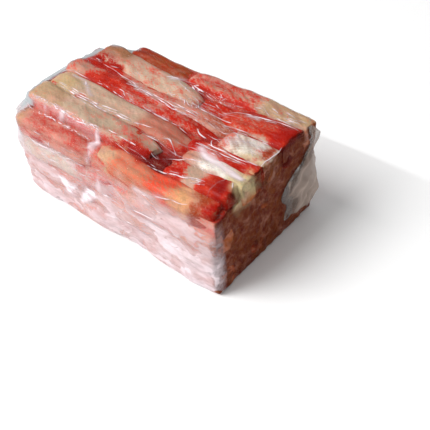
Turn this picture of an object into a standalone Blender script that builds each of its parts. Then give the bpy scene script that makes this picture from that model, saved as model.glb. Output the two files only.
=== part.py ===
"""A vacuum pack of frozen crab claw meat: a block of meat sticks under tight clear film.

The sticks are laid out in the block's own frame, in millimetres: X runs along the sticks from
the left end, Y from the front row to the back row, and Z up from the surface the pack lies on.
The pack's solid is the film's outer surface. A rounded cage round the block is drawn in, point
by point, until it lies on the sticks; between them it stays taut and sags a little.
"""
import math
import random
from collections import namedtuple

import bmesh
import bpy
import numpy as np
from mathutils import Vector
from mathutils.bvhtree import BVHTree

MM = 0.001

# The block, in mm
BLOCK_LENGTH = 134.0
BLOCK_WIDTH = 77.0
BLOCK_HEIGHT = 57.0

# The sticks, in mm; a stick's section is a rounded box. Its ends are cut square where they lie
# outside the cut places along the block, and rounded where they lie between them.
SECTION_POWER = 3.4
CUT_END_POWER = 12.0
ROUND_END_POWER = 4.0
CUT_PLACES = (21.0, 125.0)
STICK_SEGMENTS = 24
STICK_RINGS = 28
TABLE_GAP = 0.4

Stick = namedtuple("Stick", "start end half_width half_height taper bow")

TOP_STICKS = {
    "front_left": Stick((3, 6.4, 43.8), (58, 6.4, 43.8), 6.6, 6.3, 0.0, 0.0),
    "front_right": Stick((57, 8.6, 45.3), (131, 7.6, 43.4), 5.8, 7.0, 0.0, -2.6),
    "sunken_right": Stick((76, 16.0, 42.5), (132, 16.6, 49.0), 7.0, 6.3, 0.0, 0.0),
    "top_1": Stick((0.6, 17.3, 50.0), (86, 17.8, 49.6), 7.0, 7.0, 0.10, -0.6),
    "top_2": Stick((4.2, 30.1, 49.8), (97, 28.8, 49.4), 7.1, 7.2, 0.1, 0.0),
    "top_3": Stick((1.8, 42.2, 49.8), (104, 40.2, 49.6), 5.6, 6.9, 0.25, 0.0),
    "top_4": Stick((2.0, 50.7, 49.4), (110, 47.2, 48.6), 5.2, 6.6, 0.0, 0.0),
    "top_5": Stick((5.0, 62.4, 50.4), (80, 56.6, 49.8), 7.4, 7.1, 0.04, 0.5),
    "back_left": Stick((20, 72.2, 50.0), (63, 69.8, 50.0), 5.7, 6.6, 0.0, 0.0),
    "back_right": Stick((60, 70.4, 50.4), (135, 71.8, 50.0), 5.9, 7.1, 0.08, 0.0),
    "sunken_back": Stick((70, 58.5, 47.0), (99, 58.3, 47.0), 6.0, 6.0, 0.0, 0.0),
    "right_1": Stick((94, 54.6, 49.8), (134, 57.6, 50.2), 7.0, 7.0, -0.12, 0.8),
    "right_2": Stick((105, 41.2, 50.2), (134, 42.3, 49.8), 7.3, 6.8, -0.05, 0.0),
    "right_3": Stick((93, 32.0, 49.2), (134, 30.8, 49.0), 4.7, 6.4, 0.0, 0.0),
    "right_4": Stick((96, 25.0, 48.4), (136, 24.2, 48.6), 4.9, 6.4, 0.0, 0.0),
}

# The layers under those: two sticks end to end in each row, staggered from layer to layer
LAYER_HEIGHTS = (7.2, 21.4, 35.6)
FRONT_HEIGHTS = (6.8, 19.2, 31.6)
ROW_COUNT = 6
ROW_HALF_WIDTH = 6.9
LAYER_HALF_HEIGHT = 7.6
FRONT_HALF_HEIGHT = 6.9
LEFT_END = (-2.0, 1.5)
MIDDLE_JOINS = (86.0, 46.0, 66.0)
JOIN_JITTER = 7.0
RIGHT_END = (131.0, 134.0)
JOIN_OVERLAP = 2.0
LARGEST_TAPER = 0.06
LARGEST_BOW = 0.6
LAYOUT_SEED = 11

# Stiff folds of the film, thin ridges that hold it off the meat
FILM_FOLDS = (
    Stick((2.4, 2.8, 50.0), (0.2, 22.0, 54.3), 1.0, 1.0, 0.0, 0.0),
    Stick((0.2, 22.0, 54.3), (0.3, 43.0, 54.3), 1.0, 1.0, 0.0, 0.0),
    Stick((0.3, 43.0, 54.3), (3.2, 63.5, 54.3), 1.0, 1.0, 0.0, 0.0),
    Stick((8, 68.5, 53.4), (20, 72.6, 54.2), 0.7, 0.7, 0.0, 0.0),
)

# The film, in mm
CAGE_MARGIN = 5.0
CAGE_RADIUS = 11.0
CELL_ALONG = 4.5
CELL_ACROSS = 2.9
FILM_GAP = 0.3
TOP_FREE_RADIUS = 7.0
SIDE_FREE_RADIUS = 16.0
SIDE_STEEPNESS = 0.3
TOP_STEEPNESS = 0.8
DEEPEST_DRAW = 14.0
DRAW_STEPS = 500

# The folded end seal, a crumpled flap of film against the right end, in mm
FLAP_OUTLINE_Z = (9, 13, 31, 33.5, 41, 50, 56)
FLAP_OUTLINE_Y = (76, 79, 75, 76.5, 73, 77, 72)
FLAP_ROOT_Y = (46, 69)
FLAP_ROOT_X = 127.0
FLAP_X = 135.4
FLAP_SHOULDER = (33.0, 38.0)
FLAP_LIFT = 9.0
FLAP_CELLS = (12, 20)
FLAP_THICKNESS = 1.2
FLAP_WAVE = 0.9
WAVES_PER_MM = (0.07, 0.05)

FILM_COLOR = (0.72, 0.36, 0.30, 1.0)
FILM_ROUGHNESS = 0.25
SHARP_ANGLE = math.radians(50)


def clear_scene():
    """Remove every object of the open scene."""
    for item in list(bpy.data.objects):
        bpy.data.objects.remove(item, do_unlink=True)


def new_collection(name):
    """Make a collection in the scene."""
    collection = bpy.data.collections.new(name)
    bpy.context.scene.collection.children.link(collection)
    return collection


def film_material():
    """A glossy film with the meat's colour showing through."""
    material = bpy.data.materials.new("film_over_meat")
    material.use_nodes = True
    shader = material.node_tree.nodes["Principled BSDF"]
    shader.inputs["Base Color"].default_value = FILM_COLOR
    shader.inputs["Roughness"].default_value = FILM_ROUGHNESS
    shader.inputs["Metallic"].default_value = 0.0
    return material


def rounded(value, power):
    """The coordinate of a superellipse whose circle's coordinate is value."""
    return math.copysign(abs(value) ** (2 / power), value)


def end_power(place):
    """How square a stick's end is, from where it lies along the block."""
    low, high = CUT_PLACES
    return ROUND_END_POWER if low < place < high else CUT_END_POWER


def add_stick(mesh, stick):
    """Add one meat stick: a sphere drawn out along its line and boxy in section."""
    start = Vector(stick.start)
    end = Vector(stick.end)
    side = Vector((start.y - end.y, end.x - start.x, 0)).normalized()
    ball = bmesh.ops.create_uvsphere(
        mesh, u_segments=STICK_SEGMENTS, v_segments=STICK_RINGS, radius=1.0)
    for vert in ball["verts"]:
        along = max(-1.0, min(1.0, vert.co.z))
        power = end_power(start.x if along < 0 else end.x)
        swell = (1 - abs(along) ** power) ** (1 / power) * (1 - stick.taper * along)
        around = math.atan2(vert.co.y, vert.co.x)
        across = rounded(math.cos(around), SECTION_POWER) * stick.half_width * swell
        height = rounded(math.sin(around), SECTION_POWER) * stick.half_height * swell
        bow = stick.bow * (1 - along * along)
        point = start.lerp(end, (along + 1) / 2) + side * (across + bow)
        point.z = max(point.z + height, TABLE_GAP)
        vert.co = point


def row_of_sticks(draw, row, layer):
    """The sticks of one row of one lower layer, end to end from the left."""
    in_front = row == 0
    height = FRONT_HEIGHTS[layer] if in_front else LAYER_HEIGHTS[layer]
    half_height = FRONT_HALF_HEIGHT if in_front else LAYER_HALF_HEIGHT
    y = BLOCK_WIDTH / ROW_COUNT * (row + 0.5)
    join = MIDDLE_JOINS[layer] + draw.uniform(-JOIN_JITTER, JOIN_JITTER)
    spans = ((draw.uniform(*LEFT_END), join + JOIN_OVERLAP),
             (join - JOIN_OVERLAP, draw.uniform(*RIGHT_END)))
    return [Stick((low, y, height), (high, y, height), ROW_HALF_WIDTH, half_height,
                  draw.uniform(-LARGEST_TAPER, LARGEST_TAPER),
                  draw.uniform(-LARGEST_BOW, LARGEST_BOW)) for low, high in spans]


def lower_sticks():
    """The lower layers; one stick of the uppermost is left out, as the sunken one lies there."""
    draw = random.Random(LAYOUT_SEED)
    sticks = []
    for row in range(ROW_COUNT):
        for layer in range(len(LAYER_HEIGHTS)):
            in_row = row_of_sticks(draw, row, layer)
            over_gap = row == 1 and layer == len(LAYER_HEIGHTS) - 1
            sticks += in_row[:1] if over_gap else in_row
    return sticks


def stick_tree():
    """All the sticks and folds as one search tree for the film to land on."""
    mesh = bmesh.new()
    for stick in [*TOP_STICKS.values(), *FILM_FOLDS, *lower_sticks()]:
        add_stick(mesh, stick)
    tree = BVHTree.FromBMesh(mesh)
    mesh.free()
    return tree


def film_cage():
    """A cube the size of the block and its margin, cut into cells."""
    size = (BLOCK_LENGTH + 2 * CAGE_MARGIN, BLOCK_WIDTH + 2 * CAGE_MARGIN,
            BLOCK_HEIGHT + 2 * CAGE_MARGIN)
    mesh = bmesh.new()
    bmesh.ops.create_cube(mesh, size=1.0)
    for axis, cell in enumerate((CELL_ALONG, CELL_ACROSS, CELL_ACROSS)):
        count = round(size[axis] / cell)
        normal = Vector((0, 0, 0))
        normal[axis] = 1.0
        for step in range(1, count):
            place = normal * (step / count - 0.5)
            everything = mesh.verts[:] + mesh.edges[:] + mesh.faces[:]
            bmesh.ops.bisect_plane(mesh, geom=everything, dist=1e-6,
                                   plane_co=place, plane_no=normal)
    for vert in mesh.verts:
        vert.co = Vector(vert.co[axis] * size[axis] for axis in range(3))
    return mesh, np.array(size) / 2


def neighbour_table(mesh):
    """Each point's neighbours and their weights, one over the squared distance."""
    mesh.verts.index_update()
    places = np.array([vert.co for vert in mesh.verts])
    table = np.tile(np.arange(len(places))[:, None], (1, 4))
    weights = np.zeros(table.shape)
    for vert in mesh.verts:
        for slot, edge in enumerate(vert.link_edges):
            other = edge.other_vert(vert).index
            table[vert.index, slot] = other
            weights[vert.index, slot] = 1 / np.sum((places[other] - places[vert.index]) ** 2)
    return table, weights


def draw_in(start, inward, limit, table, weights):
    """Relax the film: taut between what it touches, drawn in where it touches nothing."""
    total = weights.sum(axis=1)
    share = (weights / total[:, None])[:, :, None]
    on_top = (-inward[:, 2] - SIDE_STEEPNESS) / (TOP_STEEPNESS - SIDE_STEEPNESS)
    on_top = np.clip(on_top, 0, 1)
    sag = (on_top / TOP_FREE_RADIUS + (1 - on_top) / SIDE_FREE_RADIUS) / total
    place = start
    for _ in range(DRAW_STEPS):
        target = (place[table] * share).sum(axis=1)
        depth = ((target - start) * inward).sum(axis=1) + sag
        depth = np.clip(depth, 0, limit)
        place = start + inward * depth[:, None]
    return place


def wrap_block(tree):
    """The film's surface: the cage with round corners, drawn in onto the sticks."""
    mesh, half = film_cage()
    centre = np.array((BLOCK_LENGTH, BLOCK_WIDTH, BLOCK_HEIGHT)) / 2
    mesh.verts.ensure_lookup_table()
    places = np.array([vert.co for vert in mesh.verts])
    reach = CAGE_RADIUS + CAGE_MARGIN
    core = np.clip(places, reach - half, half - reach)
    outward = places - core
    outward /= np.linalg.norm(outward, axis=1)[:, None]
    start = core + outward * reach + centre
    limit = np.full(len(start), DEEPEST_DRAW)
    for index, (place, away) in enumerate(zip(start, outward)):
        hit = tree.ray_cast(Vector(place), Vector(-away), DEEPEST_DRAW)
        if hit[0] is not None:
            limit[index] = hit[3] - FILM_GAP
    table, weights = neighbour_table(mesh)
    film = draw_in(start, -outward, limit, table, weights)
    straight_down = np.isclose(outward[:, 2], -1)
    film[:, 2] = np.where(straight_down, 0, np.maximum(film[:, 2], 0))
    for vert, place in zip(mesh.verts, film):
        vert.co = Vector(place) * MM
    bmesh.ops.triangulate(mesh, faces=mesh.faces[:])
    return mesh


def smooth_step(low, high, value):
    """Rise smoothly from 0 at low to 1 at high."""
    share = min(max((value - low) / (high - low), 0), 1)
    return share * share * (3 - 2 * share)


def flap_point(across, rise):
    """A point of the flap: it leaves the end of the block at its root and stands off beyond.

    Across and rise run from 0 to 1 over the flap's width and height. Above its shoulder the
    flap narrows to a strip whose root starts nearer to its lifted part.
    """
    height = FLAP_OUTLINE_Z[0] + rise * (FLAP_OUTLINE_Z[-1] - FLAP_OUTLINE_Z[0])
    edge = np.interp(height, FLAP_OUTLINE_Z, FLAP_OUTLINE_Y)
    narrow = smooth_step(*FLAP_SHOULDER, height)
    root = FLAP_ROOT_Y[0] + narrow * (FLAP_ROOT_Y[1] - FLAP_ROOT_Y[0])
    y = root + across * (edge - root)
    lift = smooth_step(0, FLAP_LIFT, y - root + narrow * FLAP_LIFT / 3)
    turns = (y * WAVES_PER_MM[0] + height * WAVES_PER_MM[1] / 2, height * WAVES_PER_MM[1])
    wave = FLAP_WAVE * math.sin(math.tau * turns[0]) * math.sin(math.tau * turns[1])
    return (FLAP_ROOT_X + lift * (FLAP_X - FLAP_ROOT_X) + wave * lift, y, height)


def make_flap(collection, material):
    """The end seal, folded flat against the right end: a thin wavy sheet, narrow at the top."""
    bpy.ops.mesh.primitive_grid_add(x_subdivisions=FLAP_CELLS[0], y_subdivisions=FLAP_CELLS[1],
                                    size=1.0)
    flap = bpy.context.object
    flap.name = "end_seal_flap"
    for vert in flap.data.vertices:
        vert.co = Vector(flap_point(vert.co.x + 0.5, vert.co.y + 0.5)) * MM
    solid = flap.modifiers.new("thickness", "SOLIDIFY")
    solid.thickness = FLAP_THICKNESS * MM
    solid.offset = 0.0
    for owner in list(flap.users_collection):
        owner.objects.unlink(flap)
    collection.objects.link(flap)
    flap.hide_render = True
    flap.display_type = "WIRE"
    flap.data.materials.append(material)
    return flap


def centre_over_origin(parts):
    """Move the parts together so that the middle of their base lies on the origin."""
    bpy.context.view_layer.update()
    graph = bpy.context.evaluated_depsgraph_get()
    corners = np.array(parts[0].evaluated_get(graph).bound_box)
    middle = (corners.min(axis=0) + corners.max(axis=0)) / 2
    for part in parts:
        part.location = (-middle[0], -middle[1], 0)


def make_pack():
    """The whole pack as one solid, with its origin under its middle."""
    pack_collection = new_collection("crab_claw_meat_pack")
    helpers = new_collection("helpers")
    material = film_material()
    data = bpy.data.meshes.new("pack")
    wrapped = wrap_block(stick_tree())
    wrapped.to_mesh(data)
    wrapped.free()
    data.materials.append(material)
    data.shade_smooth()
    data.set_sharp_from_angle(angle=SHARP_ANGLE)
    pack = bpy.data.objects.new("pack", data)
    pack_collection.objects.link(pack)
    flap = make_flap(helpers, material)
    join = pack.modifiers.new("join_flap", "BOOLEAN")
    join.operation = "UNION"
    join.solver = "EXACT"
    join.object = flap
    centre_over_origin([pack, flap])
    return pack


clear_scene()
make_pack()
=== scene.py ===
"""Looks of a vacuum pack of frozen crab claw meat: the meat sticks and the clear film on them.

The sticks are laid out in the block's own frame, in millimetres: X runs along the sticks from
the left end, Y from the front row to the back row, and Z up. The film is a cage round the
block, drawn in point by point until it lies on the sticks and taut between them.
"""
import math
import random
from collections import namedtuple

import bmesh
import bpy
import numpy as np
from mathutils import Matrix, Vector, noise
from mathutils.bvhtree import BVHTree


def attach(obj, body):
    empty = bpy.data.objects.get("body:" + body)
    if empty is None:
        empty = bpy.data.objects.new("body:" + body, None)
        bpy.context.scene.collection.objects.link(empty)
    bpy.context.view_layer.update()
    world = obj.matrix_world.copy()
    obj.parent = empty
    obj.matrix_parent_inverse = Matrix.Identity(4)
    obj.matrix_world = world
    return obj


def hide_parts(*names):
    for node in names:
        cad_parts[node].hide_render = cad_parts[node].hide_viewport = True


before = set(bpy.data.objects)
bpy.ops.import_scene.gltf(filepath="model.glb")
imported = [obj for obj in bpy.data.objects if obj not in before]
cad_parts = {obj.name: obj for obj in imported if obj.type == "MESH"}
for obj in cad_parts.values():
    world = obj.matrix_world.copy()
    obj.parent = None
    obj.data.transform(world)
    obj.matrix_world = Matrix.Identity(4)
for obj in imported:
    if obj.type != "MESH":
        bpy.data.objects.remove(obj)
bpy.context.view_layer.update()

MM = 0.001

# The block, in mm, and the middle of the finished pack's base in the block's frame
BLOCK_SIZE = np.array((134.0, 77.0, 57.0))
PACK_MIDDLE = np.array((67.303, 38.857, 0.0))

# The sticks, in mm; the powers say how square sections and ends are, and an end that lies
# outside the cut places along the block is cut square
SECTION_POWER = 5.0
SPAN_POWER = 1.2
CUT_END_POWER = 12.0
ROUND_END_POWER = 4.0
CUT_PLACES = (21.0, 125.0)
TABLE_GAP = 0.4
Stick = namedtuple("Stick", "start end half_width half_height taper bow", defaults=(0.0, 0.0))
TOP_STICKS = {
    "front_left": Stick((3, 6.4, 43.8), (58, 6.4, 43.8), 6.6, 6.3),
    "front_right": Stick((54.6, 8.4, 44.4), (131, 7.6, 43.4), 5.6, 7.2, -0.04, -2.6),
    "sunken_right": Stick((76, 16, 42.5), (132, 16.6, 49), 7, 6.3),
    "top_1": Stick((1.8, 17.3, 50), (86, 17.8, 49.6), 7, 7, 0.1, -0.6),
    "top_2": Stick((4.2, 30.1, 49.8), (97, 28.8, 49.4), 7.1, 7.2, 0.1),
    "top_3": Stick((1.8, 42.2, 49.8), (104, 40.2, 49.6), 5.6, 6.9, 0.25),
    "top_4": Stick((2, 50.7, 49.4), (110, 47.2, 48.6), 5.2, 6.6),
    "top_5": Stick((5, 62.4, 50.4), (80, 56.6, 49.8), 7.4, 7.1, 0.04, 0.5),
    "back_left": Stick((20, 72.2, 50), (63, 69.8, 50), 5.7, 6.6),
    "back_right": Stick((60, 70.4, 50.4), (135, 71.8, 50), 5.9, 7.1, 0.08),
    "sunken_back": Stick((70, 58.5, 47), (99, 58.3, 47), 6, 6),
    "right_1": Stick((94, 54.6, 49.8), (134, 57.6, 50.2), 7, 7, -0.12, 0.8),
    "right_2": Stick((105, 41.2, 50.2), (134, 42.3, 49.8), 7.3, 6.8, -0.05),
    "right_3": Stick((93, 32, 49.2), (134, 30.8, 49), 4.7, 6.4),
    "right_4": Stick((96, 25, 48.4), (134.4, 24.2, 48.6), 4.9, 6.4),
}
TOP_RINGS, TOP_SEGMENTS = 110, 52
# The relief of a stick's surface: feature sizes along and across it, depth and noise seed
STICK_RELIEF = (((20, 8, 8), 0.8, 0), ((9, 3.5, 3.5), 0.6, 1),
                ((24, 1.5, 1.5), 0.32, 3), ((5, 1.1, 1.1), 0.08, 5))
STICK_WOBBLE = 0.9
FRAY_DEPTHS = (2.4, 0.7)
FRAY_SET_BACK = 0.4

# The layers under those: two sticks end to end in each row, staggered from layer to layer
LAYER_HEIGHTS = (7.2, 21.4, 35.6)
FRONT_HEIGHTS = (6.8, 19.2, 31.6)
ROW_COUNT = 6
ROW_HALF_WIDTH = 6.9
LAYER_HALF_HEIGHT = 7.6
FRONT_HALF_HEIGHT = 6.9
LEFT_END = (-2.0, 1.5)
MIDDLE_JOINS = (86.0, 46.0, 66.0)
JOIN_JITTER = 7.0
RIGHT_END = (131.0, 134.0)
JOIN_OVERLAP = 2.0
LARGEST_TAPER = 0.06
LARGEST_BOW = 0.6
LAYOUT_SEED = 11
LOWER_RINGS, LOWER_SEGMENTS = 70, 28

# The frozen juice and shreds between the sticks: its lowest and highest corners, in mm
BED_LOW = np.array((0.6, 1.6, 0.0))
BED_HIGH = np.array((133.3, 76.2, 60.0))
BED_TOP = 55.0
BED_CELLS = (1.3, 1.1, 1.4)
BED_RELIEF = 0.8
BED_LEAST_HEIGHT = 1.0
# Where it stands lower: along the front row, in the hollow beside it and so on, as spans in X
# and Y and the height there
BED_PITS = (
    (-10, 150, -5, 10.5, 46.0), (54, 62, 2, 12, 50.0), (74, 100, 6, 23, 50.8),
    (96, 150, 7, 20, 47.5), (86, 108, 22, 53, 52.4), (98, 128, 19, 29.5, 50.5),
    (73, 98, 50, 64, 51.8), (-10, 24, 65, 90, 40.0),
)
PIT_EDGE = 1.5

# Stiff folds of the film, thin ridges that hold it off the meat
FILM_FOLDS = (
    Stick((2.4, 2.8, 50), (0.2, 22, 54.3), 1, 1),
    Stick((0.2, 22, 54.3), (0.3, 43, 54.3), 1, 1),
    Stick((0.3, 43, 54.3), (3.2, 63.5, 54.3), 1, 1),
    Stick((8, 68.5, 53.4), (20, 72.6, 54.2), 0.7, 0.7),
)
FOLD_RINGS, FOLD_SEGMENTS = 24, 16
FOLD_REACH = 2.0

# Lines have a strength, corners in X and Y on top and in X and Z in front, and a half-width
Line = namedtuple("Line", "strength points half_width", defaults=(0.4,))
# Taut pleats of the film: thin ridges that catch the light; their whiteness is a painted highlight,
# partly the milk of folded film
PLEATS = {
    "top": (
        (0.63, ((10, 23.7), (18, 23.7), (28, 22.7), (38, 22), (48, 22.2), (54, 23.7), (60, 24.2),
            (68, 25.5), (74, 26.2), (77, 27.7))),
        (0.8, ((12, 25.2), (28, 24), (43, 24.2), (52, 25.9), (55, 26.2))),
        (1, ((21.5, 34), (24, 31.8))),
        (0.86, ((31, 38), (39, 37), (49, 35.4))),
        (0.4, ((55, 36.6), (61, 36), (69, 35.6), (84, 35.5))),
        (0.52, ((16, 52), (20, 51.8), (27, 50.8), (32, 49.3), (44, 48.3), (54, 47.5), (64, 46.3),
            (69, 45.8))),
        (0.92, ((27, 50.8), (32, 49.3), (35, 48.8))),
        (0.69, ((40, 44.8), (44, 46.2), (49, 46.5), (56, 45.8), (67, 44.8), (74, 44.4))),
        (0.57, ((72, 46.5), (78, 46.5), (86, 46.5))),
        (0.34, ((80, 48.4), (88, 48), (95, 47.6))),
        (1, ((74, 53), (76.5, 51), (80, 49.8))),
        (0.69, ((72, 53), (74, 50.5))),
        (0.8, ((53, 61.5), (58, 65), (61, 62), (63, 60.5), (67, 60), (68, 58.5))),
        (0.69, ((64, 66), (66, 62), (68, 58.5))),
        (0.86, ((66.5, 65.5), (70, 64), (74.5, 63.6), (78.5, 62.5), (84, 61.8))),
        (0.46, ((80, 58), (84, 58.5), (87, 59))),
        (0.69, ((96.5, 57.5), (98, 58.8), (104, 60.6), (112, 62.3), (120, 64.2), (128, 64.4),
            (133, 63.2))),
        (0.57, ((109, 57.7), (111, 59.2), (115, 60.5), (121, 62.6))),
        (0.52, ((80, 52.2), (90, 52), (103, 51.5))),
        (0.98, ((92, 39.5), (94, 37.8), (97, 37.6), (99, 37.6))),
        (0.98, ((102.3, 37.8), (104, 35), (106, 33.2), (107.5, 33))),
        (0.63, ((104, 30.5), (110, 31.2), (120, 31.5), (127, 32))),
        (0.63, ((103, 33), (112, 33.2), (120, 33.4), (127, 33.2))),
        (0.46, ((90, 16.5), (94, 19.5), (100, 21.5), (107, 22.3), (117, 22.5))),
        (0.69, ((87, 9.3), (93, 9.5), (98, 10.8), (103, 12.3), (110, 13), (117, 13))),
        (0.46, ((98, 12.5), (104, 13.5), (112, 14), (118, 13.8))),
        (0.2, ((123, 8), (122.5, 11), (123, 17), (125, 21)), 0.3),
        (0.92, ((129, 20), (131, 17))),
        (0.92, ((5, 9.6), (9, 9.4), (14, 9.8), (18, 9.2), (23, 9.9), (28, 9.6), (33, 9.2),
            (38, 8.9), (45, 8.6), (51, 9), (57, 9))),
        (0.9, ((8, 8.7), (13, 9), (19, 8.4), (26, 8.9), (34, 8.3), (42, 8)), 0.35),
        (0.8, ((12, 10.6), (17, 10.2), (24, 10.8), (31, 10.2), (40, 9.6), (50, 9.9)), 0.35),
        (0.9, ((57, 9), (60, 11.2), (63, 13.2), (67, 15))),
        (0.9, ((133, 49.5), (133.2, 42), (132.6, 34.5))),
        (0.8, ((66.6, 12.8), (71.6, 13.3), (76.6, 13.1))),
        (0.46, ((84, 24.5), (87, 26), (91, 23.5), (94, 21.5))),
        (0.5, ((10, 11), (18, 11.4), (25, 11), (35, 10.4), (42, 9.8), (49, 10.2))),
        (0.4, ((57.6, 8.4), (58.2, 6), (58.8, 3.5), (59, 1)), 0.3),
        (0.3, ((56.2, 8), (56.6, 6), (57.2, 4)), 0.3),
    ),
    "front": (
        (0.8, ((11, 38.5), (20, 38), (31, 38))),
        (0.8, ((18, 32), (25, 31.3), (32, 31.6))),
        (0.69, ((28, 43.5), (27, 40))),
        (0.69, ((62, 26), (66, 27.3), (69, 27.3))),
        (0.92, ((62, 12.5), (70, 14.5), (77, 17), (82, 17.5))),
        (0.69, ((84, 28.5), (90, 30), (97, 30))),
        (0.57, ((90, 42), (100, 46.5), (108, 48.5), (118, 50))),
        (0.57, ((66, 8), (72, 7.6), (78, 8.4))),
    ),
}
# Hazy patches of the film: mostly painted highlights, partly the milk of loose film
TOP_HAZE_AND_HIGHLIGHTS = (
    (0.45, ((56, 62.5), (60, 65)), 1.8),
    (0.45, ((107, 60), (111, 61)), 1.4),
    (0.3, ((111, 40), (118, 42), (125, 45)), 2.6),
    (0.6, ((103, 28.5), (108, 27.2), (114, 26), (120, 24.6)), 1.8),
    (0.8, ((106, 27.4), (114, 25.4), (122, 24), (130, 23.4)), 1.5),
    (0.6, ((17, 9.4), (18, 9.3)), 0.7),
    (0.6, ((28, 9.7), (30, 9.5)), 0.7),
    (0.4, ((13, 34), (21, 34), (25, 31.5), (33, 27)), 0.9),
    (0.2, ((8, 10.2), (24, 10.2), (40, 9.6), (52, 9.8)), 0.8),
)
# Hazy patches on the front: mostly painted highlights, partly the milk of loose film
FRONT_HAZE_AND_HIGHLIGHTS = (
    (0.5, ((57, 52), (56, 47), (54, 43)), 1.2),
    (0.4, ((87, 43), (95, 45.5), (103, 47.5)), 1.6),
    (0.35, ((59, 27), (60, 31), (61, 35)), 1.2),
    (0.35, ((15, 38), (28, 37.5)), 1.5),
)
# Thin red lines of the meat on the front of the front row
RED_LINES = (
    (0.7, ((14, 41), (22, 41)), 0.9),
    (0.6, ((32, 39.6), (45, 38.6), (58, 37.6)), 0.9),
    (0.7, ((50, 38), (60, 39.4)), 1.3),
    (0.6, ((62, 34.5), (70, 35.6), (79, 36.2)), 0.9),
    (0.7, ((55, 45), (62, 47.2), (70, 43.8), (82, 42)), 0.8),
    (0.6, ((15, 35), (19, 36.2), (23, 37.2)), 0.8),
    (0.5, ((50, 26.4), (58, 26)), 1),
    (0.6, ((68, 27.6), (76, 28.4)), 0.9),
    (0.6, ((83, 26.6), (95, 27.6), (108, 28.6)), 0.9),
    (0.5, ((70, 11), (77, 12)), 1.3),
    (0.3, ((9, 23.6), (13, 23.8)), 1.3),
    (0.3, ((13, 14), (22, 13)), 1.2),
)
# A pleat's cross section: places across it and heights, in half-widths
PLEAT_PROFILE = ((-1.0, -0.2), (-0.45, 0.4), (0.0, 0.6), (0.45, 0.4), (1.0, -0.2))
PLEAT_SLIMNESS = 0.75
PLEAT_STEP = 0.8
CHANCE_PLEATS = 260
# Loose film above a height counts as top, that beyond two places in X as an end, and the rest
# as front or back, about a middle in X and Y
TOP_FROM = 51.0
ENDS_FROM = (3.0, 130.0)
FILM_MIDDLE = (67.0, 40.0)
# Places on a short bent line, as shares of its half length from its middle
LINE_SHARES = (-1, -0.5, 0, 0.5, 1)
# Where short pleats crowd on each face: spans along and across in mm, how many, and their
# slant, half length and whiteness, which is painted glints
Crowd = namedtuple("Crowd", "along across count slant length whiteness")
CROWDS = {
    "top": (
        ((4, 55), (7.4, 11.2), 150, 0, 1.5, 0.9),
        ((46, 66), (10, 14.5), 12, 0.35, 3, 0.7),
        ((10, 74), (22.5, 25.8), 14, 0, 3.5, 0.5),
        ((42, 100), (43.6, 47.8), 44, -0.04, 4.5, 0.6),
        ((70, 81), (50, 54), 9, -0.9, 1.6, 0.9),
        ((66, 90), (61, 65), 16, -0.15, 1.6, 0.9),
        ((100, 130), (29, 34), 16, 0, 4, 0.5),
        ((105, 127), (37, 46), 30, -0.55, 2.2, 0.5),
        ((106, 132), (66, 73), 34, -0.06, 4, 0.6),
        ((28, 48), (36, 39.5), 10, -0.1, 3, 0.7),
        ((50, 88), (34.5, 37.5), 18, 0, 4, 0.45),
        ((100, 124), (11, 14), 12, 0.1, 3, 0.5),
        ((60, 100), (52, 60), 24, -0.1, 3, 0.6),
        ((96, 130), (46, 50), 14, 0.05, 3, 0.6),
        ((4, 40), (52, 56), 8, -0.1, 3, 0.5),
    ),
    "front": (
        ((4, 60), (38, 46), 26, 0, 3.5, 0.5),
        ((10, 129), (25, 46), 56, 0.06, 4, 0.45),
        ((12, 128), (6, 26), 56, 0.3, 4, 0.4),
    ),
    "back": (((8, 126), (8, 46), 130, 0.1, 5, 0.5),),
    "left": (((6, 70), (6, 48), 60, 0.5, 3.5, 0.45),),
}
# A flat line is cast onto a face of the film along an axis, from a place, up or down the axis
FACINGS = {
    "top": (2, 90, -1), "front": (1, -30, 1), "back": (1, 120, -1),
    "right": (0, 170, -1), "left": (0, -30, 1),
}
LEAST_FACING = 0.35
# Flat facets of loose film that mirror the room, painted in as milky white, a painted reflection:
# their corners in X and Y on top and in X and Z in front
TOP_FACETS = (((54.6, 13.6), (57.0, 9.0), (56.8, 2.0), (54.4, 1.5), (50.6, 6.5), (52.0, 8.5)),)
FRONT_FACETS = (
    ((29, 23.5), (45, 23.5), (36.5, 13.5), (33, 13)),
    ((48.5, 24), (53.5, 24), (57, 20), (44.5, 10.5), (41, 11.5)),
)
FACET_EDGE = (-0.3, 1.6)

# The film, in mm
CAGE_MARGIN = 5.0
CAGE_RADIUS = 11.0
CELLS = (1.6, 0.6, 0.8)
FILM_GAP = 0.3
TOP_FREE_RADIUS = 7.0
SIDE_FREE_RADIUS = 16.0
SIDE_STEEPNESS = 0.3
TOP_STEEPNESS = 0.8
DEEPEST_DRAW = 14.0
EASE_STEPS = 8
DRAW_STEPS = 700
FILM_PLEAT_HEIGHT = 0.3
CRUMPLE_HEIGHT = 0.6

# The folded end seal, a crumpled flap of film against the right end, in mm
FLAP_OUTLINE_Z = (9, 13, 31, 33.5, 41, 50, 56)
FLAP_OUTLINE_Y = (76, 79, 75, 76.5, 73, 77, 72)
FLAP_ROOT_Y = (46, 69)
FLAP_SLANT = 7.0
FLAP_ROOT_WAVE = 1.6
FLAP_ROOT_X = 127.0
FLAP_X = 135.4
FLAP_SHOULDER = (30.0, 40.0)
FLAP_LIFT = 9.0
FLAP_COLUMNS, FLAP_ROWS = 60, 90
FLAP_THICKNESS = 0.25
FLAP_FOLD_HEIGHT = 1.2
FLAP_GAP = 0.2
CAST_FROM_X = 150.0
FLAP_WAVE = 0.9
WAVES_PER_MM = (0.07, 0.05)
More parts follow.
